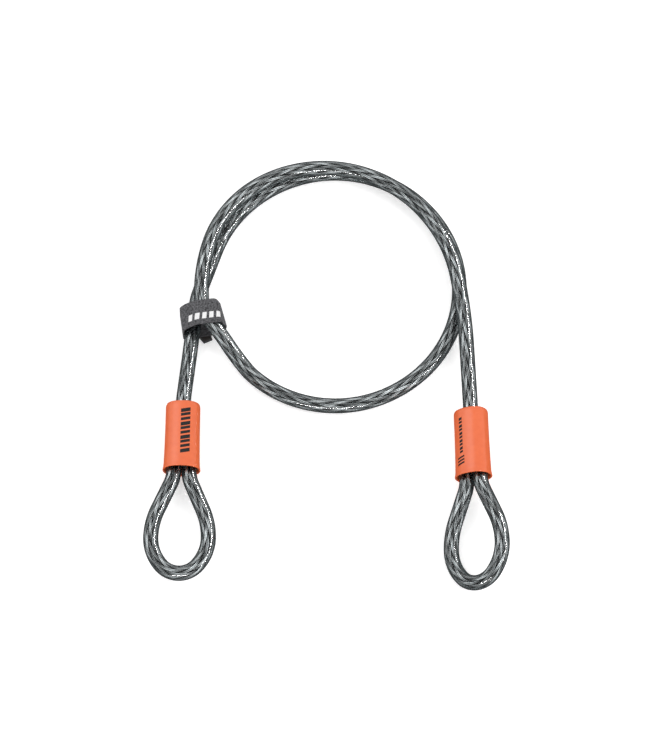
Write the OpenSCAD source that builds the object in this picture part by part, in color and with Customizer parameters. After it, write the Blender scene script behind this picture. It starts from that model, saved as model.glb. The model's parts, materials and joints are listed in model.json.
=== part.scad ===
// Looped security cable, coiled once and a quarter and held by a strap.
// Frame: millimetres, +Z up, lying on a table at z = 0, both eyes towards -Y.
// The origin is under the centre of the coil.
//
// The cable is drawn as one run of tangent bends and straights from the left
// sleeve to the right sleeve. It is cut into links that turn about round
// knuckles, because a rigid model has to stand in for a flexible cable.

/* [Cable] */
// Outside diameter of the vinyl jacket
jacket_d = 10; // [9.6:0.1:10.4]
// Wall thickness of the jacket
jacket_wall = 1; // [0.8:0.1:1.4]
// Diameter of the core strand inside the braid
core_d = 3.8; // [3:0.1:4.4]
// Gap between jacket, braid and core
layer_gap = 0.03; // [0.02:0.01:0.05]

/* [Coil] */
// Length of the round part of the lower pass
coil_length = 433.5; // [432:0.5:435]
// Lean of the coil off the table, which lies on the strap at the left
coil_tilt = 1; // [1:0.05:1.2]
// Gap between the upper pass and the lower pass
pass_gap = 0.1; // [0.1:0.05:0.3]
// Length of the run that climbs onto the lower pass
climb_length = 42.3; // [41.8:0.1:43]

/* [Knuckles] */
// How far the round end of a link stands clear of the jacket
knuckle_extra = 0.3; // [0.2:0.05:0.4]
// Clearance round a knuckle
knuckle_gap = 0.1; // [0.08:0.02:0.2]

/* [Ends] */
// Width of the vinyl sleeve
sleeve_w = 24.8; // [24.6:0.1:25.2]
// Thickness of the vinyl sleeve
sleeve_t = 21; // [20:0.5:21]
// Length of the vinyl sleeve
sleeve_length = 47; // [46:1:50]
// Wall thickness of the vinyl sleeve
sleeve_wall = 1.2; // [1:0.1:1.2]
// Length of the crimped ferrule
ferrule_length = 24; // [20:1:24]
// Thickness of the crimped ferrule
ferrule_t = 14.6; // [13:0.2:16]
// Gap between the two legs of an eye at the sleeve's mouth
leg_gap = 0.1; // [0.1:0.05:0.5]
// Turn of the right end about its own axis
right_roll = 31.5; // [28:0.5:31.5]

/* [Eye] */
// Angle at which the legs of the eye spread
eye_spread = 23; // [21:0.5:24]
// Angle at which the sides of the eye close towards the tip
eye_close = 40.6; // [38:0.2:42]
// Length of the straight part of each leg
eye_straight = 19.5; // [18:0.5:21]
// Angle at which the left eye stands up from its sleeve
left_eye_lift = 3; // [0:0.5:4]

/* [Strap] */
// Width of the strap webbing
strap_w = 17.5; // [17:0.5:18]
// Thickness of the strap webbing
strap_t = 1; // [0.8:0.1:1]
// Thickness of the hook tape
hook_t = 0.5; // [0.4:0.1:0.6]
// How far the strap's askew tail shows beyond its edge
tail_show = 4.6; // [3:0.2:4.8]

/* [Hidden] */
$fn = 64;

jacket_r = jacket_d / 2;
lining_r = jacket_r - jacket_wall;
knuckle_r = jacket_r + knuckle_extra;
leg_offset = jacket_r + leg_gap / 2;
pass_rise = jacket_d + pass_gap;
core_r = core_d / 2;
hairline = 0.05;
// how far a link is drawn past its joint before its end is rounded
lead = knuckle_r + 1;
degrees_per_radian = 180 / PI;

// each layer of the cable: [outer radius, inner radius]
JACKET = [jacket_r, lining_r];
BRAID = [lining_r - layer_gap, core_r + layer_gap];
CORE = [core_r, 0];

// ---------------------------------------------------------------- the cable run

// a step is [length, turn to the left, turn upwards], with at most one turn
function straight(l) = [l, 0, 0];
function bend(l, turn) = [l, turn, 0];
function ramp(l, turn) = [l, 0, turn];
function arc_r(step) = step[0] / (abs(step[1] + step[2]) / degrees_per_radian);

// height of the left end over the lower pass, and the ramp that gains it
left_lift = 2.5;
ramp_length = 10;
ramp_straight = 6.5;
ramp_angle = left_lift / (ramp_length + 2 * ramp_straight) * degrees_per_radian;

// two arcs of this angle raise the cable by pass_rise
climb_angle = 2 * atan(pass_rise / climb_length);
climb_arc_r = pass_rise / (2 * (1 - cos(climb_angle)));
climb_arc = climb_arc_r * climb_angle / degrees_per_radian;

LEFT_END_STEPS = [bend(6, -5.5), ramp(ramp_length, -ramp_angle), straight(ramp_straight)];
LEFT_LEG_STEPS = [straight(ramp_straight), ramp(ramp_length, ramp_angle), straight(6)];
// the lower pass is not quite round: it turns by this much in each fifth
RING_TURNS = [-56.6, -61.1, -56.8, -57.7, -61.9];
COIL_STEPS = [
    straight(28),
    bend(12, -12.8),
    straight(31),
    each [for (turn = RING_TURNS) bend(coil_length / len(RING_TURNS), turn)],
    bend(5, -8.6),
    ramp(climb_arc, climb_angle),
    ramp(climb_arc, -climb_angle),
    bend(12.5, -34.4),
    bend(43.9, -19.9),
];
PASS_1_STEPS = [bend(63.7, -46.8)];
PASS_2_STEPS = [bend(63.7, -43.5)];
PASS_3_STEPS = [bend(52.9, -34.3)];
PASS_4_STEPS = [bend(52.9, -29.4)];
RIGHT_LEG_STEPS = [bend(52.9, -7.7)];
RIGHT_END_STEPS = [straight(36), bend(10, -0.9)];
ALL_STEPS = concat(
    LEFT_END_STEPS, LEFT_LEG_STEPS, COIL_STEPS, PASS_1_STEPS, PASS_2_STEPS,
    PASS_3_STEPS, PASS_4_STEPS, RIGHT_LEG_STEPS, RIGHT_END_STEPS
);
RUN_COUNTS = [3, 3, len(COIL_STEPS), 1, 1, 1, 1, 1, 2];

function move_by(x, y, z) = [[1, 0, 0, x], [0, 1, 0, y], [0, 0, 1, z], [0, 0, 0, 1]];
function spin_x(a) = [[1, 0, 0, 0], [0, cos(a), -sin(a), 0], [0, sin(a), cos(a), 0], [0, 0, 0, 1]];
function spin_y(a) = [[cos(a), 0, sin(a), 0], [0, 1, 0, 0], [-sin(a), 0, cos(a), 0], [0, 0, 0, 1]];
function spin_z(a) = [[cos(a), -sin(a), 0, 0], [sin(a), cos(a), 0, 0], [0, 0, 1, 0], [0, 0, 0, 1]];

// the frame at a step's end, seen from its start
function step_move(s) =
    s[1] != 0 ? move_by(arc_r(s) * sin(abs(s[1])), sign(s[1]) * arc_r(s) * (1 - cos(s[1])), 0)
        * spin_z(s[1])
    : s[2] != 0 ? move_by(arc_r(s) * sin(abs(s[2])), 0, sign(s[2]) * arc_r(s) * (1 - cos(s[2])))
        * spin_y(-s[2])
    : move_by(s[0], 0, 0);
function frame_after(start, steps, n) =
    n == 0 ? start : frame_after(start, steps, n - 1) * step_move(steps[n - 1]);

// the table touches the lower pass where it reaches furthest to the right
coil_reach = 84;
COIL_FRAME = move_by(0, 0, jacket_r + coil_reach * sin(coil_tilt)) * spin_y(coil_tilt);
// where the cable leaves the left sleeve, and which way it heads
left_top = [-100.7, -86.9];
left_heading = 89.4;
RUN_START = COIL_FRAME * move_by(left_top[0], left_top[1], left_lift) * spin_z(left_heading);

function sum_to(list, n) = n == 0 ? 0 : list[n - 1] + sum_to(list, n - 1);
function run_frame(k) = frame_after(RUN_START, ALL_STEPS, sum_to(RUN_COUNTS, k));

// one step of a layer, starting at the origin and heading along +X; it may start
// a little early, by before, and end a little late, by after
module step_solid(step, layer, before, after) {
    turn = step[1] + step[2];
    if (turn == 0)
        translate([-before, 0, 0])
            rotate([0, 90, 0])
                tube(layer, step[0] + before + after);
    else
        rotate([step[2] != 0 ? 90 : 0, 0, 0])
            mirror([0, turn > 0 ? 0 : 1, 0])
                translate([0, arc_r(step), 0])
                    rotate([0, 0, -90 - before / arc_r(step) * degrees_per_radian])
                        rotate_extrude(angle = (step[0] + before + after) / arc_r(step)
                            * degrees_per_radian)
                            translate([arc_r(step), 0])
                                ring(layer);
}

module ring(layer) {
    difference() {
        circle(r = layer[0]);
        if (layer[1] > 0)
            circle(r = layer[1]);
    }
}

module tube(layer, length) {
    linear_extrude(length)
        ring(layer);
}

// the steps follow one another with a hairline between them
module steps_solid(start, steps, layer, before = 0, after = 0) {
    last = len(steps) - 1;
    for (i = [0:last])
        multmatrix(frame_after(start, steps, i))
            step_solid(steps[i], layer, i == 0 ? before : 0, i == last ? after : -hairline);
}

// round pin across the cable, upright or level
module knuckle(r, level) {
    rotate([level ? 90 : 0, 0, 0])
        cylinder(r = r, h = 4 * jacket_d, center = true);
}

// what is left free of the link before a joint
module socket_cut(level) {
    knuckle(knuckle_r + knuckle_gap, level);
}

// what a link's round end leaves out, behind a joint
module round_end_cut(level) {
    difference() {
        translate([-2 * jacket_d, -2 * jacket_d, -2 * jacket_d])
            cube([2 * jacket_d, 4 * jacket_d, 4 * jacket_d]);
        knuckle(knuckle_r, level);
    }
}

// a link further from the coil towards the right end: round at its start
module forward_link(k, steps, layer, level = false, last_level = false) {
    difference() {
        steps_solid(run_frame(k), steps, layer, before = lead);
        multmatrix(run_frame(k))
            round_end_cut(level);
        multmatrix(run_frame(k + 1))
            socket_cut(last_level);
    }
}

// ------------------------------------------------------------- the coil, fixed

module coil_layer(layer) {
    difference() {
        steps_solid(run_frame(2), COIL_STEPS, layer);
        multmatrix(run_frame(2))
            socket_cut(false);
        multmatrix(run_frame(3))
            socket_cut(false);
    }
}

module jacket_coil() { color("slategray", 0.6) coil_layer(JACKET); }
module braid_coil() { color("silver") coil_layer(BRAID); }
module core_coil() { color("darkgray") coil_layer(CORE); }

// -------------------------------------------------- the upper pass, four links

module jacket_pass_1() { color("slategray", 0.6) forward_link(3, PASS_1_STEPS, JACKET); }
module braid_pass_1() { color("silver") forward_link(3, PASS_1_STEPS, BRAID); }
module core_pass_1() { color("darkgray") forward_link(3, PASS_1_STEPS, CORE); }
module jacket_pass_2() { color("slategray", 0.6) forward_link(4, PASS_2_STEPS, JACKET); }
module braid_pass_2() { color("silver") forward_link(4, PASS_2_STEPS, BRAID); }
module core_pass_2() { color("darkgray") forward_link(4, PASS_2_STEPS, CORE); }
module jacket_pass_3() { color("slategray", 0.6) forward_link(5, PASS_3_STEPS, JACKET); }
module braid_pass_3() { color("silver") forward_link(5, PASS_3_STEPS, BRAID); }
module core_pass_3() { color("darkgray") forward_link(5, PASS_3_STEPS, CORE); }
module jacket_pass_4() { color("slategray", 0.6) forward_link(6, PASS_4_STEPS, JACKET); }
module braid_pass_4() { color("silver") forward_link(6, PASS_4_STEPS, BRAID); }
module core_pass_4() { color("darkgray") forward_link(6, PASS_4_STEPS, CORE); }

// ------------------------------------------------------------------- the legs

module right_leg_layer(layer) {
    forward_link(7, RIGHT_LEG_STEPS, layer, false, true);
}
module jacket_right_leg() { color("slategray", 0.6) right_leg_layer(JACKET); }
module braid_right_leg() { color("silver") right_leg_layer(BRAID); }
module core_right_leg() { color("darkgray") right_leg_layer(CORE); }

// the left leg hangs from the coil, so its round end is at the coil's end of it
module left_leg_layer(layer) {
    difference() {
        steps_solid(run_frame(1), LEFT_LEG_STEPS, layer, after = lead);
        multmatrix(run_frame(2) * spin_z(180))
            round_end_cut(false);
        multmatrix(run_frame(1))
            socket_cut(true);
    }
}
module jacket_left_leg() { color("slategray", 0.6) left_leg_layer(JACKET); }
module braid_left_leg() { color("silver") left_leg_layer(BRAID); }
module core_left_leg() { color("darkgray") left_leg_layer(CORE); }

// ------------------------------------------------------------------- the ends
// An end's frame lies at the middle of the sleeve's top, +X towards the eye.

LEFT_END = RUN_START * spin_z(180);
RIGHT_END = run_frame(9) * spin_x(right_roll);

// the running leg steps aside to make room for the dead end beside it
aside_length = 16;
aside_angle = 2 * atan(leg_offset / aside_length);
aside_arc = aside_length / (2 * sin(aside_angle)) * aside_angle / degrees_per_radian;
ASIDE_STEPS = [bend(aside_arc, aside_angle), bend(aside_arc, -aside_angle)];
end_gap = 0.5;
ferrule_start = aside_length + end_gap;
ferrule_end = ferrule_start + ferrule_length;
// the cut end of the cable stands out of the ferrule by this much
dead_end_out = 1.5;
dead_end_start = ferrule_start - dead_end_out;

// a straight layer along one leg of the end, from one place to another
module leg_tube(layer, side, from, to) {
    translate([from, side * leg_offset, 0])
        rotate([0, 90, 0])
            tube(layer, to - from);
}

// the cable from the sleeve's top to the joint at its mouth
module end_layer(frame, layer) {
    legs_start = layer == JACKET ? ferrule_end + end_gap : aside_length + hairline;
    dead_start = layer == JACKET ? ferrule_end + end_gap : dead_end_start;
    steps_solid(frame * move_by(hairline, 0, 0), ASIDE_STEPS, layer, after = -hairline);
    multmatrix(frame)
        difference() {
            union() {
                leg_tube(layer, 1, legs_start, sleeve_length);
                leg_tube(layer, -1, dead_start, sleeve_length);
            }
            translate([sleeve_length, 0, 0])
                socket_cut(true);
        }
}

module left_end_layer(layer) {
    difference() {
        steps_solid(RUN_START, LEFT_END_STEPS, layer, after = lead);
        multmatrix(run_frame(1) * spin_z(180))
            round_end_cut(true);
    }
    end_layer(LEFT_END, layer);
}

module right_end_layer(layer) {
    difference() {
        steps_solid(run_frame(8), RIGHT_END_STEPS, layer, before = lead);
        multmatrix(run_frame(8))
            round_end_cut(true);
    }
    end_layer(RIGHT_END, layer);
}

module jacket_left_end() { color("slategray", 0.6) left_end_layer(JACKET); }
module braid_left_end() { color("silver") left_end_layer(BRAID); }
module core_left_end() { color("darkgray") left_end_layer(CORE); }
module jacket_right_end() { color("slategray", 0.6) right_end_layer(JACKET); }
module braid_right_end() { color("silver") right_end_layer(BRAID); }
module core_right_end() { color("darkgray") right_end_layer(CORE); }

// a flat-sided oval across the end's axis
module oval(w, t) {
    offset_x = (w - t) / 2;
    for (side = [-1, 1])
        translate([side * offset_x, 0])
            circle(r = t / 2);
    square([2 * offset_x, t], center = true);
}

// extrudes an outline across the end, from one place to another
module along_end(frame, from, to) {
    multmatrix(frame * move_by(from, 0, 0))
        rotate([90, 0, 90])
            linear_extrude(to - from)
                children();
}

ferrule_w = sleeve_w - 2 * sleeve_wall - 2 * knuckle_gap;

module ferrule(frame) {
    along_end(frame, ferrule_start, ferrule_end)
        difference() {
            oval(ferrule_w, ferrule_t);
            for (side = [-1, 1])
                translate([side * leg_offset, 0])
                    circle(r = lining_r);
        }
}

module sleeve(frame) {
    along_end(frame, 0, sleeve_length)
        difference() {
            oval(sleeve_w, sleeve_t);
            oval(sleeve_w - 2 * sleeve_wall, sleeve_t - 2 * sleeve_wall);
        }
}

module left_ferrule() { color("gainsboro") ferrule(LEFT_END); }
module right_ferrule() { color("gainsboro") ferrule(RIGHT_END); }
module left_sleeve() { color("coral") sleeve(LEFT_END); }
module right_sleeve() { color("coral") sleeve(RIGHT_END); }

// ------------------------------------------------------------------- the eyes

eye_foot_r = 25;
eye_side_r = 52;
eye_shoulder_r = 30.4;
// half width of the eye where its tip arc starts
eye_tip_y = leg_offset + eye_foot_r * (1 - cos(eye_spread)) + eye_straight * sin(eye_spread)
    + eye_side_r * (1 - cos(eye_spread)) - eye_shoulder_r * (1 - cos(eye_close));
eye_tip_r = eye_tip_y / cos(eye_close);

function arc_length(r, angle) = r * angle / degrees_per_radian;
EYE_SIDE_STEPS = [
    bend(arc_length(eye_foot_r, eye_spread), eye_spread),
    straight(eye_straight),
    bend(arc_length(eye_side_r, eye_spread), -eye_spread),
    bend(arc_length(eye_shoulder_r, eye_close), -eye_close),
];
EYE_STEPS = concat(
    EYE_SIDE_STEPS,
    [bend(arc_length(eye_tip_r, 180 - 2 * eye_close), 2 * eye_close - 180)],
    [for (i = [3:-1:0]) EYE_SIDE_STEPS[i]]
);

module eye_layer(frame, layer, lift = 0) {
    mouth = frame * move_by(sleeve_length, 0, 0) * spin_y(-lift);
    difference() {
        steps_solid(mouth * move_by(0, leg_offset, 0), EYE_STEPS, layer, lead, lead);
        multmatrix(mouth)
            round_end_cut(true);
    }
}

module jacket_left_eye() { color("slategray", 0.6) eye_layer(LEFT_END, JACKET, left_eye_lift); }
module braid_left_eye() { color("silver") eye_layer(LEFT_END, BRAID, left_eye_lift); }
module core_left_eye() { color("darkgray") eye_layer(LEFT_END, CORE, left_eye_lift); }
module jacket_right_eye() { color("slategray", 0.6) eye_layer(RIGHT_END, JACKET); }
module braid_right_eye() { color("silver") eye_layer(RIGHT_END, BRAID); }
module core_right_eye() { color("darkgray") eye_layer(RIGHT_END, CORE); }

// ------------------------------------------------------------------ the strap
// In the strap's frame X points across both cables, Y up and Z towards the eyes.

strap_place = [-88.5, -25.1];
strap_turn = 8.2;
STRAP_FRAME = COIL_FRAME * move_by(strap_place[0], strap_place[1], 0) * spin_z(strap_turn)
    * spin_x(90);
strap_gap = 0.15;
hook_inset = 1;
strap_low = -jacket_r - strap_gap - strap_t / 2;
strap_high = pass_rise + jacket_r + strap_gap + strap_t / 2;
flap_low = strap_low - strap_t - hook_t - strap_gap;
// the flap turns about its own round edge here, a little clear of the webbing
shoulder = [-11, 11.6];
shoulder_clear = strap_t / 2 + 0.25;

function unit(v) = v / norm(v);
function left_of(v) = [-v[1], v[0]];

// points of the arc that rounds corner b between a and c
function fillet(a, b, c, r, n = 8) =
    let (u = unit(a - b), v = unit(c - b))
    let (half = acos(u * v) / 2, reach = r / tan(half))
    let (centre = b + unit(u + v) * r / sin(half))
    let (from = b + u * reach - centre, to = b + v * reach - centre)
    let (turn = (180 - 2 * half) * sign(from[0] * to[1] - from[1] * to[0]))
    [for (i = [0:n]) centre + [
        from[0] * cos(turn * i / n) - from[1] * sin(turn * i / n),
        from[0] * sin(turn * i / n) + from[1] * cos(turn * i / n)
    ]];

// a polyline with each inner corner rounded; corners holds [x, y, radius]
function rounded(corners) = [
    [corners[0][0], corners[0][1]],
    for (i = [1:len(corners) - 2])
        each fillet(
            [corners[i - 1][0], corners[i - 1][1]],
            [corners[i][0], corners[i][1]],
            [corners[i + 1][0], corners[i + 1][1]],
            corners[i][2]
        ),
    [corners[len(corners) - 1][0], corners[len(corners) - 1][1]]
];

// a strip of thickness t along a polyline
module strip(line, t) {
    last = len(line) - 1;
    sides = [for (i = [0:last]) left_of(unit(line[min(i + 1, last)] - line[max(i - 1, 0)]))];
    polygon(concat(
        [for (i = [0:last]) line[i] + sides[i] * t / 2],
        [for (i = [last:-1:0]) line[i] - sides[i] * t / 2]
    ));
}

// from the inner end under the cables, round the right side, to the shoulder
WEBBING_LINE = rounded([
    [-8, strap_low, 0],
    [13, strap_low, 3],
    [14.85, 6, 5],
    [11.2, strap_high, 4],
    [-5, strap_high, 6],
    [shoulder[0] + shoulder_clear * cos(45), shoulder[1] + shoulder_clear * sin(45), 0]
]);
// from the shoulder down the left side to the tail
FLAP_LINE = rounded([
    [shoulder[0], shoulder[1], 0],
    [-14.1, 7.5, 3],
    [-14.05, flap_low, 2.4],
    [-9, flap_low, 0]
]);

module along_strap() {
    multmatrix(STRAP_FRAME)
        translate([0, 0, -strap_w / 2])
            linear_extrude(strap_w)
                children();
}

module strap_webbing() {
    color("dimgray")
        along_strap()
            strip(WEBBING_LINE, strap_t);
}

// the tail under the cables is askew, so that its corner shows below the strap;
// its outline is [across the cables, towards the eyes]
tail_start = -9.5;
tail_corner = [5, strap_w / 2 + 0.6 * tail_show];
tail_low_corner = [-1.1, strap_w / 2 + tail_show];
tail_slant = 8.4;
TAIL = [
    [tail_start, -strap_w / 2],
    [tail_corner[0] - (tail_corner[1] + strap_w / 2) * tan(tail_slant), -strap_w / 2],
    tail_corner,
    tail_low_corner,
    [tail_low_corner[0] - tail_show * tan(30), strap_w / 2],
    [tail_start, strap_w / 2],
];

// corner i of an outline, moved inwards by d
function inset_corner(outline, i, d) =
    let (n = len(outline), here = outline[i])
    let (before = left_of(unit(here - outline[(i + n - 1) % n])))
    let (after = left_of(unit(outline[(i + 1) % n] - here)))
    here + (before + after) * d / (1 + before * after);

module tail_plate(low, t, inset) {
    multmatrix(STRAP_FRAME)
        translate([0, low - t / 2, 0])
            rotate([90, 0, 0])
                mirror([0, 0, 1])
                    linear_extrude(t)
                        polygon([for (i = [0:len(TAIL) - 1]) inset_corner(TAIL, i, inset)]);
}

module strap_flap() {
    color("dimgray") {
        along_strap() {
            strip(FLAP_LINE, strap_t);
            translate(shoulder)
                circle(r = strap_t / 2);
        }
        tail_plate(flap_low, strap_t, 0);
    }
}

module strap_hook_tape() {
    color("black")
        tail_plate(flap_low + (strap_t + hook_t) / 2 + hairline, hook_t, hook_inset);
}

jacket_coil();
braid_coil();
core_coil();
strap_webbing();
strap_flap();
strap_hook_tape();
jacket_pass_1();
braid_pass_1();
core_pass_1();
jacket_pass_2();
braid_pass_2();
core_pass_2();
jacket_pass_3();
braid_pass_3();
core_pass_3();
jacket_pass_4();
braid_pass_4();
core_pass_4();
jacket_right_leg();
braid_right_leg();
core_right_leg();
jacket_right_end();
braid_right_end();
core_right_end();
right_ferrule();
right_sleeve();
jacket_right_eye();
braid_right_eye();
core_right_eye();
jacket_left_leg();
braid_left_leg();
core_left_leg();
jacket_left_end();
braid_left_end();
core_left_end();
left_ferrule();
left_sleeve();
jacket_left_eye();
braid_left_eye();
core_left_eye();
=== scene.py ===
# Looks of the looped security cable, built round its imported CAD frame.
import json
import math

import bpy
import numpy as np
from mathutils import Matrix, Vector

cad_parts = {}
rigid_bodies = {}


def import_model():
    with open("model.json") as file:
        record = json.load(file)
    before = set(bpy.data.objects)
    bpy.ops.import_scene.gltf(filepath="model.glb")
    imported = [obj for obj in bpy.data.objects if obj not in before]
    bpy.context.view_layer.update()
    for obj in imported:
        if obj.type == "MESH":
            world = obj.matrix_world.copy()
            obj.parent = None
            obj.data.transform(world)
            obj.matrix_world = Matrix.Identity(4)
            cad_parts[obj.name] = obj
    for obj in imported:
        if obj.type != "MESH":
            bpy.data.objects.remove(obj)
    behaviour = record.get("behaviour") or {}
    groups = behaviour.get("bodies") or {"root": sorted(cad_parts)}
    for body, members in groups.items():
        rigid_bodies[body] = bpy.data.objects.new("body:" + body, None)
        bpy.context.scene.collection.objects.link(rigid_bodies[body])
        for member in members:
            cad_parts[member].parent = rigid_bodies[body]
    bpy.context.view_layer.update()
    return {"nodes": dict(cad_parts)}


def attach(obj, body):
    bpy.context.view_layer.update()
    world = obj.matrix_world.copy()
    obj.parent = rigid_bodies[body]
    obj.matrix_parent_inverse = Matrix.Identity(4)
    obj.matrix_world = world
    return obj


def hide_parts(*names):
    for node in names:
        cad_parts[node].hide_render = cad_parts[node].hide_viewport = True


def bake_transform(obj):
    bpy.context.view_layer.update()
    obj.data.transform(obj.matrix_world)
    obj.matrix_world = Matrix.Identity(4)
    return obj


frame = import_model()
MM = 0.001

# ------------------------------------------------------------ driving sizes, mm

JACKET_R = 5.0
COIL_REACH = 84
COIL_LENGTH = 433.5
COIL_TILT = 1
PASS_RISE = 10.1
CLIMB_LENGTH = 42.3
LEFT_LIFT = 2.5
RAMP_LENGTH = 10
RAMP_STRAIGHT = 6.5
LEG_OFFSET = 5.05
ASIDE_LENGTH = 16
DEAD_END_START = 15
EYE_FOLD_LENGTH = 0.01
SLEEVE_LENGTH = 47
RIGHT_ROLL = 31.5
LEFT_EYE_LIFT = 3
EYE_FOOT_R, EYE_SIDE_R, EYE_SHOULDER_R = 25, 52, 30.4
EYE_SPREAD, EYE_CLOSE, EYE_STRAIGHT = 23, 40.6, 19.5


# ------------------------------------------------------------------- matrices

def move_by(x, y, z):
    m = np.eye(4)
    m[:3, 3] = [x, y, z]
    return m


def spin(axis, degrees):
    a = math.radians(degrees)
    i, j = {"x": (1, 2), "y": (2, 0), "z": (0, 1)}[axis]
    m = np.eye(4)
    m[i, i] = m[j, j] = math.cos(a)
    m[i, j], m[j, i] = -math.sin(a), math.sin(a)
    return m


def place(m, points):
    points = np.asarray(points, float)
    return points @ m[:3, :3].T + m[:3, 3]


# -------------------------------------------------------------- the cable's path
# A step is (length, turn to the left, turn upwards), as in the part's source.

def straight(length):
    return (length, 0.0, 0.0)


def bend(length, turn):
    return (length, turn, 0.0)


def ramp(length, turn):
    return (length, 0.0, turn)


def arc(radius, turn):
    return bend(radius * math.radians(abs(turn)), turn)


def step_move(step, done):
    """The frame after a length done of a step, seen from its start."""
    length, turn, climb = step
    if turn == 0 and climb == 0:
        return move_by(done, 0, 0)
    angle = math.radians(turn + climb)
    radius = length / angle
    part = angle * done / length
    ahead, aside = radius * math.sin(part), radius * (1 - math.cos(part))
    if turn:
        return move_by(ahead, aside, 0) @ spin("z", math.degrees(part))
    return move_by(ahead, 0, aside) @ spin("y", -math.degrees(part))


ramp_angle = math.degrees(LEFT_LIFT / (RAMP_LENGTH + 2 * RAMP_STRAIGHT))
climb_angle = 2 * math.degrees(math.atan(PASS_RISE / CLIMB_LENGTH))
climb_r = PASS_RISE / (2 * (1 - math.cos(math.radians(climb_angle))))
climb_arc = climb_r * math.radians(climb_angle)
aside_angle = 2 * math.degrees(math.atan(LEG_OFFSET / ASIDE_LENGTH))
aside_r = ASIDE_LENGTH / (2 * math.sin(math.radians(aside_angle)))


def fall(radius, angle):
    return radius * (1 - math.cos(math.radians(angle)))


eye_tip_y = (
    LEG_OFFSET + fall(EYE_FOOT_R, EYE_SPREAD)
    + EYE_STRAIGHT * math.sin(math.radians(EYE_SPREAD))
    + fall(EYE_SIDE_R, EYE_SPREAD) - fall(EYE_SHOULDER_R, EYE_CLOSE)
)
eye_tip_r = eye_tip_y / math.cos(math.radians(EYE_CLOSE))
EYE_SIDE = [
    arc(EYE_FOOT_R, EYE_SPREAD),
    straight(EYE_STRAIGHT),
    arc(EYE_SIDE_R, -EYE_SPREAD),
    arc(EYE_SHOULDER_R, -EYE_CLOSE),
]
EYE = EYE_SIDE + [arc(eye_tip_r, 2 * EYE_CLOSE - 180)] + EYE_SIDE[::-1]
RUNNING_LEG = SLEEVE_LENGTH - ASIDE_LENGTH
DEAD_LEG = SLEEVE_LENGTH - DEAD_END_START


def backwards(steps):
    return [(length, -turn, climb) for length, turn, climb in reversed(steps)]


def side_steps(lift):
    """Inside the sleeve, round the eye, which stands up by lift, and back to the cut end."""
    fold = ramp(EYE_FOLD_LENGTH, lift)
    return (
        [arc(aside_r, aside_angle), arc(aside_r, -aside_angle), straight(RUNNING_LEG), fold]
        + EYE + [fold, straight(DEAD_LEG)]
    )


RING_TURNS = (-56.6, -61.1, -56.8, -57.7, -61.9)
LINKS = [
    ("left_side", backwards(side_steps(LEFT_EYE_LIFT))),
    ("left_end", [bend(6, -5.5), ramp(RAMP_LENGTH, -ramp_angle), straight(RAMP_STRAIGHT)]),
    ("left_leg", [straight(RAMP_STRAIGHT), ramp(RAMP_LENGTH, ramp_angle), straight(6)]),
    ("coil", [
        straight(28),
        bend(12, -12.8),
        straight(31),
        *[bend(COIL_LENGTH / len(RING_TURNS), turn) for turn in RING_TURNS],
        bend(5, -8.6),
        ramp(climb_arc, climb_angle),
        ramp(climb_arc, -climb_angle),
        bend(12.5, -34.4),
        bend(43.9, -19.9),
    ]),
    ("pass_1", [bend(63.7, -46.8)]),
    ("pass_2", [bend(63.7, -43.5)]),
    ("pass_3", [bend(52.9, -34.3)]),
    ("pass_4", [bend(52.9, -29.4)]),
    ("right_leg", [bend(52.9, -7.7)]),
    ("right_end", [straight(36), bend(10, -0.9)]),
    ("right_side", side_steps(0)),
]

coil_rise = JACKET_R + COIL_REACH * math.sin(math.radians(COIL_TILT))
COIL_FRAME = move_by(0, 0, coil_rise) @ spin("y", COIL_TILT)
RUN_START = COIL_FRAME @ move_by(-100.7, -86.9, LEFT_LIFT) @ spin("z", 89.4)
LEFT_END = RUN_START @ spin("z", 180)


class Path:
    """The cable's centre line from one dead end to the other, by arc length in mm."""

    def __init__(self):
        self.steps = []
        self.link_start = {}
        here = LEFT_END @ move_by(DEAD_END_START, -LEG_OFFSET, 0)
        at = 0.0
        roll = 0.0
        for name, steps in LINKS:
            self.link_start[name] = at
            if name == "right_side":
                here = here @ spin("x", RIGHT_ROLL)
                self.right_end = here
                roll = RIGHT_ROLL
            for step in steps:
                self.steps.append((at, step, here, roll))
                here = here @ step_move(step, step[0])
                at += step[0]
        self.length = at

    def frame_at(self, s):
        """The frame at s, turned back by the roll so that the wires run on unbroken."""
        at, step, here, roll = next(x for x in reversed(self.steps) if x[0] <= s + 1e-9)
        return here @ step_move(step, s - at) @ spin("x", -roll)

    def frames(self, stations):
        return np.array([self.frame_at(s) for s in stations])


PATH = Path()
RIGHT_END = PATH.right_end


# ---------------------------------------------------------------- mesh helpers

def mesh_object(name, points, faces, material, smooth=True):
    """points are in mm, in the row frame."""
    mesh = bpy.data.meshes.new(name)
    mesh.from_pydata((np.asarray(points) * MM).tolist(), [], faces)
    mesh.polygons.foreach_set("use_smooth", [smooth] * len(mesh.polygons))
    mesh.materials.append(material)
    mesh.update()
    made = bpy.data.objects.new(name, mesh)
    bpy.context.scene.collection.objects.link(made)
    return made


def grid_faces(rows, columns, wrap_columns=False, wrap_rows=False, first=0):
    """Quads of a grid of points stored row by row."""
    last_column = columns if wrap_columns else columns - 1
    last_row = rows if wrap_rows else rows - 1
    i, j = np.meshgrid(np.arange(last_row), np.arange(last_column), indexing="ij")
    i, j = i.ravel(), j.ravel()
    i2, j2 = (i + 1) % rows, (j + 1) % columns
    quads = np.stack([i * columns + j, i * columns + j2, i2 * columns + j2, i2 * columns + j], 1)
    return quads + first


def swept(frames, offsets_y, offsets_z):
    """Points at offsets from each frame; offsets are arrays of stations x ring points."""
    centre = frames[:, None, :3, 3]
    side, up = frames[:, None, :3, 1], frames[:, None, :3, 2]
    return centre + side * offsets_y[..., None] + up * offsets_z[..., None]


# ------------------------------------------------------------------- materials

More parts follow.
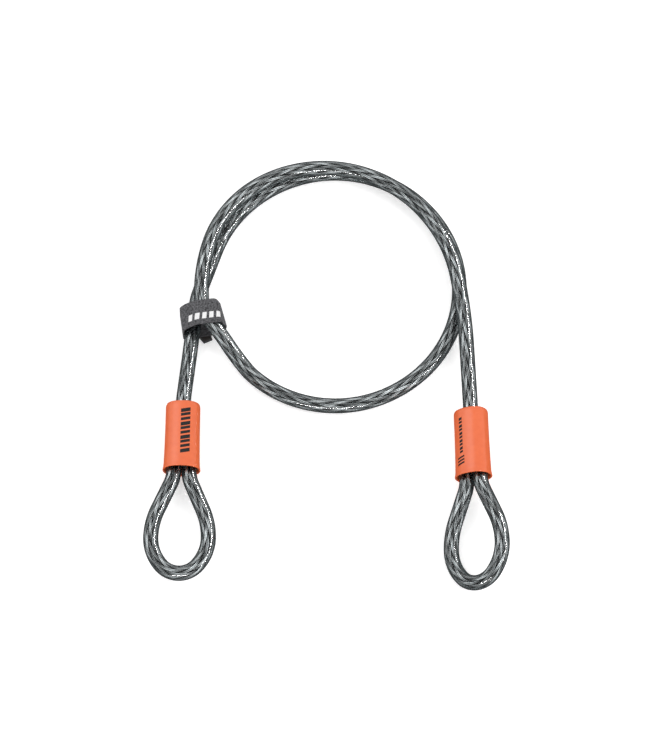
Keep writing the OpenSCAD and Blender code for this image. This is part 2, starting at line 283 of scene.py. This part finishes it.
def new_material(name):
    material = bpy.data.materials.new(name)
    material.use_nodes = True
    nodes = material.node_tree.nodes
    return material, nodes, material.node_tree.links, nodes["Principled BSDF"]


SHADER_INPUTS = {"metallic": "Metallic", "specular_ior_level": "Specular IOR Level"}


NOISE_DETAIL = 4
DARK_AT, LIGHT_AT = 0.3, 0.7
BUMP_DEPTH = 0.1 * MM


def textured(name, dark, light, scale, roughness, bump=0.2, **settings):
    """A principled material; colour, roughness and bump follow noise, scale per mm."""
    material, nodes, links, shader = new_material(name)
    place_node = nodes.new("ShaderNodeTexCoord")
    mapping = nodes.new("ShaderNodeMapping")
    mapping.inputs["Scale"].default_value = [scale / MM] * 3
    noise = nodes.new("ShaderNodeTexNoise")
    noise.inputs["Detail"].default_value = NOISE_DETAIL
    noise.inputs["Scale"].default_value = 1
    links.new(place_node.outputs["Object"], mapping.inputs["Vector"])
    links.new(mapping.outputs["Vector"], noise.inputs["Vector"])
    ramp_node = nodes.new("ShaderNodeValToRGB")
    stops = ((DARK_AT, dark), (LIGHT_AT, light))
    for element, (position, colour) in zip(ramp_node.color_ramp.elements, stops):
        element.position = position
        element.color = (*colour, 1)
    links.new(noise.outputs["Fac"], ramp_node.inputs["Fac"])
    links.new(ramp_node.outputs["Color"], shader.inputs["Base Color"])
    rough = nodes.new("ShaderNodeMapRange")
    rough.inputs["To Min"].default_value, rough.inputs["To Max"].default_value = roughness
    links.new(noise.outputs["Fac"], rough.inputs["Value"])
    links.new(rough.outputs["Result"], shader.inputs["Roughness"])
    bump_node = nodes.new("ShaderNodeBump")
    bump_node.inputs["Strength"].default_value = bump
    bump_node.inputs["Distance"].default_value = BUMP_DEPTH
    links.new(noise.outputs["Fac"], bump_node.inputs["Height"])
    links.new(bump_node.outputs["Normal"], shader.inputs["Normal"])
    for key, value in settings.items():
        shader.inputs[SHADER_INPUTS[key]].default_value = value
    return material


def with_painted_shade(material):
    """Multiplies the base colour by the mesh's shade attribute: painted shade, which is low in
    the weave's gaps.
    """
    nodes, links = material.node_tree.nodes, material.node_tree.links
    colour = nodes["Principled BSDF"].inputs["Base Color"]
    painted_shade = nodes.new("ShaderNodeAttribute")
    painted_shade.attribute_name = "painted_shade"
    product = nodes.new("ShaderNodeVectorMath")
    product.operation = "MULTIPLY"
    links.new(colour.links[0].from_socket, product.inputs[0])
    links.new(painted_shade.outputs["Fac"], product.inputs[1])
    links.new(product.outputs["Vector"], colour)
    return material


# braid steel whose colour is multiplied by painted shade carried on the wires' mesh
STEEL = with_painted_shade(textured("braid_steel", (0.76, 0.82, 0.84), (0.94, 0.99, 1.0), 0.7,
                        (0.2, 0.34), metallic=1.0))
# painted shade: the core's steel is made near black so that the gaps in the braid read as shade
CORE_STEEL_PAINTED_DARK = textured("core_steel_painted_dark", (0.02, 0.021, 0.022), (0.07, 0.073, 0.075), 0.7,
                      (0.4, 0.6), metallic=1.0)
ALUMINIUM = textured("pressed_aluminium", (0.58, 0.58, 0.57), (0.78, 0.78, 0.77), 0.9,
                     (0.3, 0.5), metallic=1.0)
ORANGE = textured("orange_vinyl", (0.67, 0.113, 0.027), (0.705, 0.128, 0.033), 0.25,
                  (0.26, 0.36), bump=0.12)
INK = textured("black_ink", (0.004, 0.004, 0.004), (0.01, 0.01, 0.01), 1.5, (0.5, 0.6),
               specular_ior_level=0.2)
WEBBING = textured("strap_webbing", (0.003, 0.003, 0.004), (0.125, 0.125, 0.133), 0.9,
                   (0.8, 1.0), bump=1.0)
HOOKS = textured("hook_tape", (0.012, 0.010, 0.009), (0.035, 0.028, 0.024), 1.5, (0.4, 0.6))
THREAD = textured("sewing_thread", (0.05, 0.05, 0.055), (0.16, 0.16, 0.17), 3.0, (0.6, 0.8),
                  bump=0.6)
WHITE = textured("white_weave", (0.62, 0.62, 0.62), (0.85, 0.85, 0.85), 2.0, (0.6, 0.8),
                 bump=0.6)


SMOKE_GREY = (0.022, 0.029, 0.031, 1)
VINYL_ROUGHNESS = 0.12
# the alpha rises from the first to the second over this range of edge-on facing
VINYL_FACING = (0.16, 0.55)
VINYL_ALPHA = (0.14, 0.92)


def set_range(node, first, last, low, high):
    for key, value in (("From Min", first), ("From Max", last), ("To Min", low),
                       ("To Max", high)):
        node.inputs[key].default_value = value


def vinyl_material():
    """Smoke grey vinyl: clear seen straight on, darker where it is seen edge on."""
    material, nodes, links, shader = new_material("clear_vinyl")
    shader.inputs["Base Color"].default_value = SMOKE_GREY
    shader.inputs["Roughness"].default_value = VINYL_ROUGHNESS
    facing = nodes.new("ShaderNodeLayerWeight")
    facing.inputs["Blend"].default_value = 0.5
    alpha = nodes.new("ShaderNodeMapRange")
    set_range(alpha, *VINYL_FACING, *VINYL_ALPHA)
    links.new(facing.outputs["Facing"], alpha.inputs["Value"])
    links.new(alpha.outputs["Result"], shader.inputs["Alpha"])
    return material


VINYL = vinyl_material()


# -------------------------------------------------------------------- the cable

BRAID_MEAN_R = 3.85
WEAVE_RISE = 0.36
WIRE_R = 0.36
WIRE_PITCH = 0.8
BANDS = 12
WIRES_PER_BAND = 2
BRAID_ANGLE = 7
# painted shade along the wires: how sharply it falls in the gaps, its painted light and dark
# runs, its floor
PAINTED_SHADE_POWER = 2.3
PAINTED_RUN_MEAN, PAINTED_RUN_SWING, PAINTED_RUN_LENGTH = 0.65, 0.35, 5.2
PAINTED_SHADE_FLOOR = 0.01
CORE_STRANDS = 6
CORE_R = 1.9
STRAND_R = CORE_R / 3
CORE_LAY = 40
STATION = 1.25
turn_per_mm = math.tan(math.radians(BRAID_ANGLE)) / BRAID_MEAN_R


def stations_between(start, end):
    return np.linspace(start, end, max(2, math.ceil((end - start) / STATION) + 1))


def wire_points(frames, angle, radius, thickness, sides):
    """One wire: a ring of points round its own centre at each station."""
    turn = np.arange(sides) / sides * 2 * np.pi
    out = radius[:, None] + thickness * np.cos(turn)[None, :]
    around = thickness * np.sin(turn)[None, :]
    c, s = np.cos(angle)[:, None], np.sin(angle)[:, None]
    return swept(frames, out * c - around * s, out * s + around * c).reshape(-1, 3)


def wires(name, start, end, layout, thickness, material, sides=4):
    """Many wires over one stretch; layout gives each one's angle, radius and painted shade."""
    stations = stations_between(start, end)
    frames = PATH.frames(stations)
    points, faces, painted_shades, count = [], [], [], 0
    for angle, radius, painted_shade in layout(stations):
        ring = wire_points(frames, angle, radius, thickness, sides)
        faces.append(grid_faces(len(stations), sides, wrap_columns=True, first=count))
        points.append(ring)
        painted_shades.append(np.repeat(painted_shade, sides))
        count += len(ring)
    made = mesh_object(name, np.concatenate(points), np.concatenate(faces).tolist(), material)
    # the painted shade goes on the mesh as a point attribute
    attribute = made.data.attributes.new("painted_shade", "FLOAT", "POINT")
    attribute.data.foreach_set("value", np.concatenate(painted_shades))
    return made


def braid_layout(stations):
    """Bands of wires wind both ways and pass over two bands, then under two."""
    crossing = BANDS * turn_per_mm * stations / np.pi
    for way in (1, -1):
        for band in range(BANDS):
            start = 2 * np.pi * band / BANDS
            # a quarter turn per band crossed: two bands over, then two bands under
            phase = np.pi / 2 * (2 * band + way * crossing) - np.pi / 4
            lift = way * np.cos(phase)
            for wire in range(WIRES_PER_BAND):
                aside = (wire - (WIRES_PER_BAND - 1) / 2) * WIRE_PITCH / BRAID_MEAN_R
                # painted light and dark runs along each wire, standing in for its reflections,
                # as in a braid seen through thick vinyl; own is a phase that differs from wire
                # to wire
                own = 2.4 * wire + 1.7 * band + way
                painted_run = np.sin(stations / PAINTED_RUN_LENGTH + 3 * own)
                # painted shade: darker where a wire dips under its neighbours, times the painted
                # runs
                painted_shade = (0.5 + 0.5 * lift) ** PAINTED_SHADE_POWER * (PAINTED_RUN_MEAN + PAINTED_RUN_SWING * painted_run)
                painted_shade = PAINTED_SHADE_FLOOR + (1 - PAINTED_SHADE_FLOOR) * painted_shade
                radius = BRAID_MEAN_R + WEAVE_RISE * lift
                yield start + aside + way * turn_per_mm * stations, radius, painted_shade


def core_layout(stations):
    """Strands twisted round one another fill the middle; their shade attribute is even, with no
    painted shade.
    """
    for strand in range(CORE_STRANDS):
        angle = 2 * np.pi * strand / CORE_STRANDS + stations * 2 * np.pi / CORE_LAY
        even = np.ones(len(stations))
        yield angle, even * (CORE_R - STRAND_R), even


def jacket(name, start, end, sides=32):
    stations = stations_between(start, end)
    turn = np.arange(sides) / sides * 2 * np.pi
    ring = np.ones((len(stations), 1)) * JACKET_R
    points = swept(PATH.frames(stations), ring * np.cos(turn), ring * np.sin(turn))
    faces = grid_faces(len(stations), sides, wrap_columns=True)
    return mesh_object(name, points.reshape(-1, 3), faces.tolist(), VINYL)


def point_at(s):
    return Vector(PATH.frame_at(s)[:3, 3] * MM)


START_OF = PATH.link_start


def middle(link, following):
    return (START_OF[link] + START_OF[following]) / 2


# inside each sleeve, this far from its mouth, the end hands the cable over to the eye
HANDOVER = 12
aside_extra = 2 * aside_r * math.radians(aside_angle) - ASIDE_LENGTH
split_depth = SLEEVE_LENGTH - HANDOVER + aside_extra
left_split = START_OF["left_end"] - split_depth
right_split = START_OF["right_side"] + split_depth
# the coil's own pieces leave this much of it to the blended pieces before and after
COIL_PIECES, BEFORE_COIL, AFTER_COIL = 4, 8, 30
coil_first = START_OF["coil"] + BEFORE_COIL
coil_last = START_OF["pass_1"] - AFTER_COIL
coil_cuts = np.linspace(coil_first, coil_last, COIL_PIECES + 1)
EYE_BLEND_REACH = 9


def eye_blend(end_frame):
    """A blend's ends on both sides of a sleeve's mouth, where the eye bends."""
    mouth = end_frame @ move_by(SLEEVE_LENGTH, 0, 0)
    return [Vector(place(mouth, [[x, 0, 0]])[0] * MM)
            for x in (-EYE_BLEND_REACH, EYE_BLEND_REACH)]


def joint_blend(link, back, ahead):
    """A blend's ends on both sides of the joint where a link starts."""
    return point_at(START_OF[link] - back), point_at(START_OF[link] + ahead)


# name, start, end, the bodies it rides on, the blend's two ends
STRETCHES = [
    ("left_eye", 0, left_split, ("left_eye", "left_end"), eye_blend(LEFT_END)[::-1]),
    ("left_end", left_split, middle("left_leg", "coil"), ("left_end", "left_leg"),
     joint_blend("left_leg", 10.5, 10.5)),
    ("left_leg", middle("left_leg", "coil"), coil_first, ("left_leg", "coil"),
     joint_blend("coil", 10.5, 6)),
    *[("coil_%d" % (i + 1), coil_cuts[i], coil_cuts[i + 1], ("coil",), None)
      for i in range(COIL_PIECES)],
    ("pass_1", coil_last, middle("pass_1", "pass_2"), ("coil", "pass_1"),
     joint_blend("pass_1", 22, 22)),
    ("pass_2", middle("pass_1", "pass_2"), middle("pass_2", "pass_3"), ("pass_1", "pass_2"),
     joint_blend("pass_2", 24, 24)),
    ("pass_3", middle("pass_2", "pass_3"), middle("pass_3", "pass_4"), ("pass_2", "pass_3"),
     joint_blend("pass_3", 22, 22)),
    ("pass_4", middle("pass_3", "pass_4"), middle("pass_4", "right_leg"), ("pass_3", "pass_4"),
     joint_blend("pass_4", 22, 22)),
    ("right_leg", middle("pass_4", "right_leg"), middle("right_leg", "right_end"),
     ("pass_4", "right_leg"), joint_blend("right_leg", 20, 20)),
    ("right_end", middle("right_leg", "right_end"), right_split, ("right_leg", "right_end"),
     joint_blend("right_end", 20, 20)),
    ("right_eye", right_split, PATH.length, ("right_end", "right_eye"), eye_blend(RIGHT_END)),
]

for name, start, end, bodies, ends in STRETCHES:
    layers = {
        "jacket": jacket("vinyl_" + name, start, end),
        "braid": wires("wires_" + name, start, end, braid_layout, WIRE_R, STEEL),
        "core": wires("strand_" + name, start, end, core_layout, STRAND_R, CORE_STEEL_PAINTED_DARK, 6),
    }
    link = "coil" if name.startswith("coil") else name
    for layer, piece in layers.items():
        if ends is None:
            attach(piece, bodies[0])
        else:
            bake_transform(piece)
        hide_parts(layer + "_" + link)


# ------------------------------------------------------------------ the sleeves

SLEEVE_TOP_W, SLEEVE_MOUTH_W = 24.1, 25.2
SLEEVE_TOP_T, SLEEVE_MOUTH_T = 20.4, 21.2
SLEEVE_WALL = 1.2
LIP_R = 0.55
FLARE = 0.55
FLARE_LENGTH = 5
WAIST = 0.25
TOP_ROUND, TOP_DRAW = 2.6, 0.55
SQUARENESS = 2.25


def sleeve_half(x):
    """Half width and half thickness of the sleeve's outside at x from its top."""
    share = x / SLEEVE_LENGTH
    flare = FLARE * max(0.0, 1 - (SLEEVE_LENGTH - x) / FLARE_LENGTH) ** 2
    waist = -WAIST * math.sin(math.pi * share)
    short = max(0.0, TOP_ROUND - x)
    flare -= TOP_DRAW * (TOP_ROUND - math.sqrt(TOP_ROUND ** 2 - short ** 2))
    half_w = (SLEEVE_TOP_W + (SLEEVE_MOUTH_W - SLEEVE_TOP_W) * share) / 2 - FLARE
    half_t = (SLEEVE_TOP_T + (SLEEVE_MOUTH_T - SLEEVE_TOP_T) * share) / 2 - FLARE
    return half_w + flare + waist, half_t + flare + waist


def oval_point(half_w, half_t, angle):
    """A slightly squared oval."""
    c, s = math.cos(angle), math.sin(angle)
    power = 2 / SQUARENESS
    return (math.copysign(abs(c) ** power, c) * half_w,
            math.copysign(abs(s) ** power, s) * half_t)


def sleeve_outline():
    """(x, inset from the outside) along the outside, round the mouth, back inside."""
    out = [(x, 0.0) for x in np.linspace(LIP_R, SLEEVE_LENGTH - LIP_R, 40)]
    turn = np.linspace(0, np.pi, 9)[1:-1]
    mouth = [(SLEEVE_LENGTH - LIP_R + LIP_R * math.sin(a), SLEEVE_WALL / 2 * (1 - math.cos(a)))
             for a in turn]
    inside = [(x, SLEEVE_WALL) for x in np.linspace(SLEEVE_LENGTH - LIP_R, LIP_R, 20)]
    top = [(LIP_R - LIP_R * math.sin(a), SLEEVE_WALL / 2 * (1 + math.cos(a))) for a in turn]
    return out + mouth + inside + top


def sleeve(name, end_frame, body, node, around=96):
    outline = sleeve_outline()
    points = []
    for x, inset in outline:
        half_w, half_t = sleeve_half(min(max(x, 0), SLEEVE_LENGTH))
        for k in range(around):
            y, z = oval_point(half_w - inset, half_t - inset, 2 * math.pi * k / around)
            points.append((x, y, z))
    faces = grid_faces(len(outline), around, wrap_columns=True, wrap_rows=True)
    made = mesh_object(name, place(end_frame, points), faces.tolist(), ORANGE)
    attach(made, body)
    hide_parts(node)


sleeve("sleeve_left", LEFT_END, "left_end", "left_sleeve")
sleeve("sleeve_right", RIGHT_END, "right_end", "right_sleeve")
for side in ("left", "right"):
    ferrule = frame["nodes"][side + "_ferrule"]
    ferrule.data.materials.clear()
    ferrule.data.materials.append(ALUMINIUM)

INK_RISE = 0.05
BAR_SLANT = 0.25


def print_bars(name, end_frame, body, bars, degrees, height):
    """Plain slanted bars in a row along the sleeve: (start, length) of each in mm."""
    columns, rows = 5, 9
    angle_at = math.radians(degrees)
    points, faces, count = [], [], 0
    for start, length in bars:
        for i in range(rows):
            across = (i / (rows - 1) - 0.5) * height
            for j in range(columns):
                x = start + length * j / (columns - 1) + across * BAR_SLANT
                half_w, half_t = sleeve_half(x)
                y, z = oval_point(half_w + INK_RISE, half_t + INK_RISE,
                                  angle_at + across / half_w)
                points.append((x, y, z))
        faces.append(grid_faces(rows, columns, first=count))
        count += rows * columns
    made = mesh_object(name, place(end_frame, points), np.concatenate(faces).tolist(), INK)
    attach(made, body)


LEFT_BARS = [(6 + 3.2 * i, 2.0 if i % 3 else 2.6) for i in range(10)]
RIGHT_BARS = [(7 + 2.6 * i, 1.5 if i % 2 else 1.9) for i in range(10)]
RIGHT_GROUP = [(34.5 + 2.2 * i, 1.2) for i in range(3)]
print_bars("marks_left", LEFT_END, "left_end", LEFT_BARS, 80, 5.6)
print_bars("marks_right", RIGHT_END, "right_end", RIGHT_BARS, 104, 2.4)
print_bars("marks_group", RIGHT_END, "right_end", RIGHT_GROUP, 107, 5.4)


# -------------------------------------------------------------------- the strap

STRAP_PLACE, STRAP_TURN = (-88.5, -25.1, 0), 8.2
STRAP_FRAME = COIL_FRAME @ move_by(*STRAP_PLACE) @ spin("z", STRAP_TURN) @ spin("x", 90)
STRAP_W = 17.5
STRAP_T = 1.0
HOOK_T = 0.5
STRAP_GAP = 0.15
strap_low = -JACKET_R - STRAP_GAP - STRAP_T / 2
strap_high = PASS_RISE + JACKET_R + STRAP_GAP + STRAP_T / 2
flap_low = strap_low - STRAP_T - HOOK_T - STRAP_GAP
SHOULDER = (-11, 11.6)


def unit(v):
    return v / np.linalg.norm(v)


def rounded(corners, arc_points=8):
    """A polyline of [x, y, radius] corners with each inner corner rounded."""
    line = [np.array(corners[0][:2], float)]
    for before, corner, after in zip(corners, corners[1:], corners[2:]):
        a, b, c = (np.array(p[:2], float) for p in (before, corner, after))
        u, v = unit(a - b), unit(c - b)
        half = math.acos(float(u @ v)) / 2
        reach = corner[2] / math.tan(half)
        centre = b + unit(u + v) * corner[2] / math.sin(half)
        start, end = b + u * reach - centre, b + v * reach - centre
        whole = math.pi - 2 * half
        way = math.copysign(1, start[0] * end[1] - start[1] * end[0])
        for i in range(arc_points + 1):
            t = way * whole * i / arc_points
            line.append(centre + np.array([
                start[0] * math.cos(t) - start[1] * math.sin(t),
                start[0] * math.sin(t) + start[1] * math.cos(t),
            ]))
    line.append(np.array(corners[-1][:2], float))
    return np.array(line)


def lengths_along(line):
    step = np.linalg.norm(np.diff(line, axis=0), axis=1)
    return np.concatenate([[0], np.cumsum(step)])


def resampled(line, spacing=0.6):
    along = lengths_along(line)
    want = np.linspace(0, along[-1], math.ceil(along[-1] / spacing) + 1)
    return np.stack([np.interp(want, along, line[:, k]) for k in (0, 1)], 1)


def line_sides(line):
    ahead = np.gradient(line, axis=0)
    ahead /= np.linalg.norm(ahead, axis=1)[:, None]
    return np.stack([-ahead[:, 1], ahead[:, 0]], 1)


STRAP_TAPER = 0.14


def strap_point(x, y, z):
    """The wrap is a little narrower at its far edge, where the cables lie closer."""
    far = (STRAP_W / 2 - z) / STRAP_W
    return (x * (1 - STRAP_TAPER * far) if x > 0 else x, y, z)


def capped_faces(rows, columns):
    """Quads round a tube of points stored ring by ring, and a face at each end."""
    last = (rows - 1) * columns
    caps = [list(range(columns)), list(range(last, last + columns))[::-1]]
    return grid_faces(rows, columns, wrap_columns=True).tolist() + caps


def ribbon(name, line, across=25):
    """Webbing with rounded edges along a line in the strap's frame."""
    sides = line_sides(line)
    half = STRAP_T / 2
    reach = STRAP_W / 2 - half
    edge = np.linspace(-np.pi / 2, np.pi / 2, 7)[1:-1]
    flat = np.linspace(-reach, reach, across)
    section = (
        [(z, half) for z in flat]
        + [(reach + half * math.cos(a), -half * math.sin(a)) for a in edge]
        + [(z, -half) for z in flat[::-1]]
        + [(-reach - half * math.cos(a), half * math.sin(a)) for a in edge]
    )
    points = [
        strap_point(*(line[i] + sides[i] * off), z)
        for i in range(len(line)) for z, off in section
    ]
    faces = capped_faces(len(line), len(section))
    return mesh_object(name, place(STRAP_FRAME, points), faces, WEBBING)


STRAP_LINE = resampled(rounded([
    (-8, strap_low, 0), (13, strap_low, 3), (14.85, 6, 5), (11.2, strap_high, 4),
    (-5, strap_high, 6), (*SHOULDER, 2), (-14.1, 7.5, 3),
    (-14.05, flap_low, 2.4), (-9, flap_low, 0),
]))
# the fold starts at the right, where the strap comes up over the upper cable
FOLD_FROM, FOLD_TO = 12.6, 9.4
fold_start = next(i for i, p in enumerate(STRAP_LINE) if p[1] > FOLD_FROM)
webbing = ribbon("webbing_band", STRAP_LINE[:fold_start + 1])
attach(webbing, "coil")
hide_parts("strap_webbing")
fold = ribbon("webbing_fold", STRAP_LINE[fold_start:])
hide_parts("strap_flap")

DASHES = 5
DASH_Z, DASH_W, DASH_H, DASH_PITCH = 2.9, 3.0, 4.4, 4.9
DASH_FIRST, DASH_LEAN, DASH_RISE = 1.2, 1.0, 0.04


def dashes():
    """Plain woven dashes across the top of the wrap, in place of its lettering."""
    along = lengths_along(STRAP_LINE)
    sides = line_sides(STRAP_LINE)
    top = along[fold_start] + DASH_FIRST
    off = STRAP_T / 2 + DASH_RISE
    points, faces, count = [], [], 0
    rows, columns = 7, 9
    for k in range(DASHES):
        for i in range(rows):
            up = i / (rows - 1) - 0.5
            for j in range(columns):
                at = top + DASH_PITCH * k + DASH_W * j / (columns - 1) + DASH_LEAN * up
                x, y, nx, ny = (np.interp(at, along, v) for v in (*STRAP_LINE.T, *sides.T))
                points.append(strap_point(x - nx * off, y - ny * off, DASH_Z + DASH_H * up))
        faces.append(grid_faces(rows, columns, first=count))
        count += rows * columns
    return mesh_object("webbing_dashes", place(STRAP_FRAME, points),
                       np.concatenate(faces).tolist(), WHITE)


for piece in (fold, dashes()):
    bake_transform(piece)

# the tail's outline is [across the cables, towards the eyes]
TAIL_START = -9.5
TAIL_SHOW = 4.6
TAIL_CORNER = (5.0, STRAP_W / 2 + 0.6 * TAIL_SHOW)
TAIL_LOW = (-1.1, STRAP_W / 2 + TAIL_SHOW)
RIGHT_SLOPE, LEFT_SLOPE = math.tan(math.radians(8.4)), math.tan(math.radians(30))
TAIL = [
    (TAIL_START, -STRAP_W / 2),
    (TAIL_CORNER[0] - (TAIL_CORNER[1] + STRAP_W / 2) * RIGHT_SLOPE, -STRAP_W / 2),
    TAIL_CORNER,
    TAIL_LOW,
    (TAIL_LOW[0] - TAIL_SHOW * LEFT_SLOPE, STRAP_W / 2),
    (TAIL_START, STRAP_W / 2),
]


def inset_outline(outline, d):
    made = []
    for i, here in enumerate(outline):
        here = np.array(here)
        before = unit(here - np.array(outline[i - 1]))
        after = unit(np.array(outline[(i + 1) % len(outline)]) - here)
        a, b = np.array([-before[1], before[0]]), np.array([-after[1], after[0]])
        made.append(here + (a + b) * d / (1 + a @ b))
    return made


def tail_slab(name, middle_y, thickness, inset, material, soft=0.35, cap_inset=3.0):
    """A slab with softened rims, made of rings of its outline drawn in a little."""
    half = thickness / 2
    soft = min(soft, half)
    rings = [(-half, cap_inset), (-half, soft), (-half + soft, 0), (half - soft, 0),
             (half, soft), (half, cap_inset)]
    points = [
        (x, middle_y + height, z)
        for height, drawn_in in rings
        for x, z in inset_outline(TAIL, inset + drawn_in)
    ]
    faces = capped_faces(len(rings), len(TAIL))
    return mesh_object(name, place(STRAP_FRAME, points), faces, material, smooth=False)


def inside(outline, x, z):
    return all(
        (b[0] - a[0]) * (z - a[1]) - (b[1] - a[1]) * (x - a[0]) > 0
        for a, b in zip(outline, outline[1:] + outline[:1])
    )


# the line of one hook, ahead and up, as shares of its height
HOOK_LINE = [(0, 0), (0, 0.6), (0.25, 0.95), (0.6, 0.9), (0.7, 0.6)]


def hooks(low, inset=1.4, pitch=1.0, height=0.42, thick=0.11):
    """Rows of little bent hooks standing on the tape."""
    points, faces, count = [], [], 0
    field = [tuple(p) for p in inset_outline(TAIL, inset)]
    corners = [a * math.pi for a in (0.25, 0.75, 1.25, 1.75)]
    for x in np.arange(TAIL_START, TAIL_CORNER[0], pitch):
        for z in np.arange(-STRAP_W / 2, TAIL_LOW[1], pitch):
            if not inside(field, x, z):
                continue
            for ahead, up in HOOK_LINE:
                for a in corners:
                    points.append((x + height * ahead + thick * math.cos(a),
                                   low + height * up, z + thick * math.sin(a)))
            faces.append(grid_faces(len(HOOK_LINE), len(corners), wrap_columns=True,
                                    first=count))
            count += len(HOOK_LINE) * len(corners)
    return mesh_object("hook_rows", place(STRAP_FRAME, points),
                       np.concatenate(faces).tolist(), HOOKS)


# one stitch's rings: share of its length, share of its full size
STITCH_RINGS = [(0, 0.3), (0.2, 1), (0.8, 1), (1, 0.3)]


def stitches(height, inset=1.7, first=0.4, length=1.3, pitch=2.0, width=0.35, rise=0.12):
    """A line of thread round the tape; each stitch is a low rounded bar."""
    outline = inset_outline(TAIL, inset)
    points, faces, count = [], [], 0
    turns = np.arange(6) * np.pi / 3
    for a, b in zip(outline, outline[1:] + outline[:1]):
        ahead = unit(b - a)
        side = np.array([-ahead[1], ahead[0]])
        for at in np.arange(first, np.linalg.norm(b - a) - length, pitch):
            for along, size in STITCH_RINGS:
                centre = a + ahead * (at + along * length)
                for turn in turns:
                    x, z = centre + side * math.cos(turn) * size * width / 2
                    points.append((x, height + math.sin(turn) * size * rise, z))
            faces.append(grid_faces(len(STITCH_RINGS), len(turns), wrap_columns=True,
                                    first=count))
            count += len(STITCH_RINGS) * len(turns)
    return mesh_object("tail_stitches", place(STRAP_FRAME, points),
                       np.concatenate(faces).tolist(), THREAD)


# the tape is drawn a little thinner than its CAD node, to make room for its hooks
TAPE_THINNER, HOOK_ROOT, TAPE_INSET = 0.16, 0.2, 1
tail = tail_slab("webbing_tail", flap_low, STRAP_T, 0, WEBBING)
tape_middle = flap_low + (STRAP_T + HOOK_T) / 2
tape = tail_slab("hook_tape", tape_middle - TAPE_THINNER / 2, HOOK_T - TAPE_THINNER,
                 TAPE_INSET, HOOKS)
hook_rows = hooks(tape_middle + HOOK_T / 2 - HOOK_ROOT)
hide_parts("strap_hook_tape")
sewing = stitches(flap_low - STRAP_T / 2)
for piece, use in ((tail, "strap"), (tape, "hook_tape"), (hook_rows, "hook_tape"),
                   (sewing, "strap")):
    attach(piece, "strap_flap")


# --------------------------------------------------------- the floor and lights

CENTRE = Vector((-0.0067, -0.063, 0.005))


def area_light(name, location, size, power):
    """An area lamp, in metres and watts, that faces the middle of the object."""
    data = bpy.data.lights.new(name, "AREA")
    data.shape = "RECTANGLE"
    data.size, data.size_y = size
    data.energy = power
    lamp = bpy.data.objects.new(name, data)
    lamp.location = location
    aim = CENTRE - Vector(location)
    lamp.rotation_euler = aim.to_track_quat("-Z", "Y").to_euler()
    bpy.context.scene.collection.objects.link(lamp)
    return lamp


FLOOR_HALF = 3000
FLOOR_GLOW, FLOOR_GLOW_IN_REFLECTIONS = 0.42, 0.12
floor = mesh_object(
    "floor",
    [(x * FLOOR_HALF, y * FLOOR_HALF, 0) for x, y in ((-1, -1), (1, -1), (1, 1), (-1, 1))],
    [(0, 1, 2, 3)],
    textured("floor_paper", (0.86, 0.86, 0.86), (0.9, 0.9, 0.9), 0.02, (0.8, 0.9), bump=0.02),
)
paper = floor.data.materials[0].node_tree
glow = paper.nodes["Principled BSDF"]
glow.inputs["Emission Color"].default_value = (1, 1, 1, 1)
glow.inputs["Emission Strength"].default_value = FLOOR_GLOW
# in reflections the floor is dim, so that the cable's edges stay dark against it
floor_ray = paper.nodes.new("ShaderNodeLightPath")
dim = paper.nodes.new("ShaderNodeEmission")
dim.inputs["Strength"].default_value = FLOOR_GLOW_IN_REFLECTIONS
choice = paper.nodes.new("ShaderNodeMixShader")
paper.links.new(floor_ray.outputs["Is Glossy Ray"], choice.inputs["Fac"])
paper.links.new(glow.outputs["BSDF"], choice.inputs[1])
paper.links.new(dim.outputs["Emission"], choice.inputs[2])
paper.links.new(choice.outputs["Shader"], paper.nodes["Material Output"].inputs["Surface"])

area_light("key", (0.9, -0.5, 1.2), (0.6, 0.9), 7)
area_light("fill", (-0.9, 0.5, 1.3), (1.0, 1.0), 6)
# long lamps that only show as bright lines along the vinyl
shiny = bpy.data.collections.new("shiny_vinyl")
for piece in bpy.context.scene.objects:
    if piece.name.startswith("vinyl_"):
        shiny.objects.link(piece)
for name, location, size, power in (
    ("glint_side", (1.25, 0.25, 0.8), (2.0, 0.3), 420),
    ("glint_front", (0, -1.4, 0.7), (1.2, 0.3), 230),
):
    glint = area_light(name, location, size, power)
    glint.visible_diffuse = False
    glint.light_linking.receiver_collection = shiny

world = bpy.data.worlds.new("studio")
world.use_nodes = True
backdrop = world.node_tree.nodes["Background"]
backdrop.inputs["Color"].default_value = (1, 1, 1, 1)
# reflections see a brighter room, so that the steel wires shine
ROOM, ROOM_IN_REFLECTIONS = 0.85, 1.7
ray = world.node_tree.nodes.new("ShaderNodeLightPath")
room = world.node_tree.nodes.new("ShaderNodeMapRange")
set_range(room, 0, 1, ROOM, ROOM_IN_REFLECTIONS)
world.node_tree.links.new(ray.outputs["Is Glossy Ray"], room.inputs["Value"])
world.node_tree.links.new(room.outputs["Result"], backdrop.inputs["Strength"])
bpy.context.scene.world = world

# ------------------------------------------------------------------- the camera

CAMERA_ELEVATION = math.radians(67)
CAMERA_DISTANCE = 2.5
SENSOR_WIDTH, LENS = 36, 180
camera_data = bpy.data.cameras.new("camera")
camera_data.sensor_width = SENSOR_WIDTH
camera_data.lens = LENS
camera = bpy.data.objects.new("camera", camera_data)
back = Vector((0, -math.cos(CAMERA_ELEVATION), math.sin(CAMERA_ELEVATION)))
camera.location = CENTRE + back * CAMERA_DISTANCE
camera.rotation_euler = (-back).to_track_quat("-Z", "Y").to_euler()
bpy.context.scene.collection.objects.link(camera)
bpy.context.scene.camera = camera
bpy.context.scene.view_settings.view_transform = "Standard"
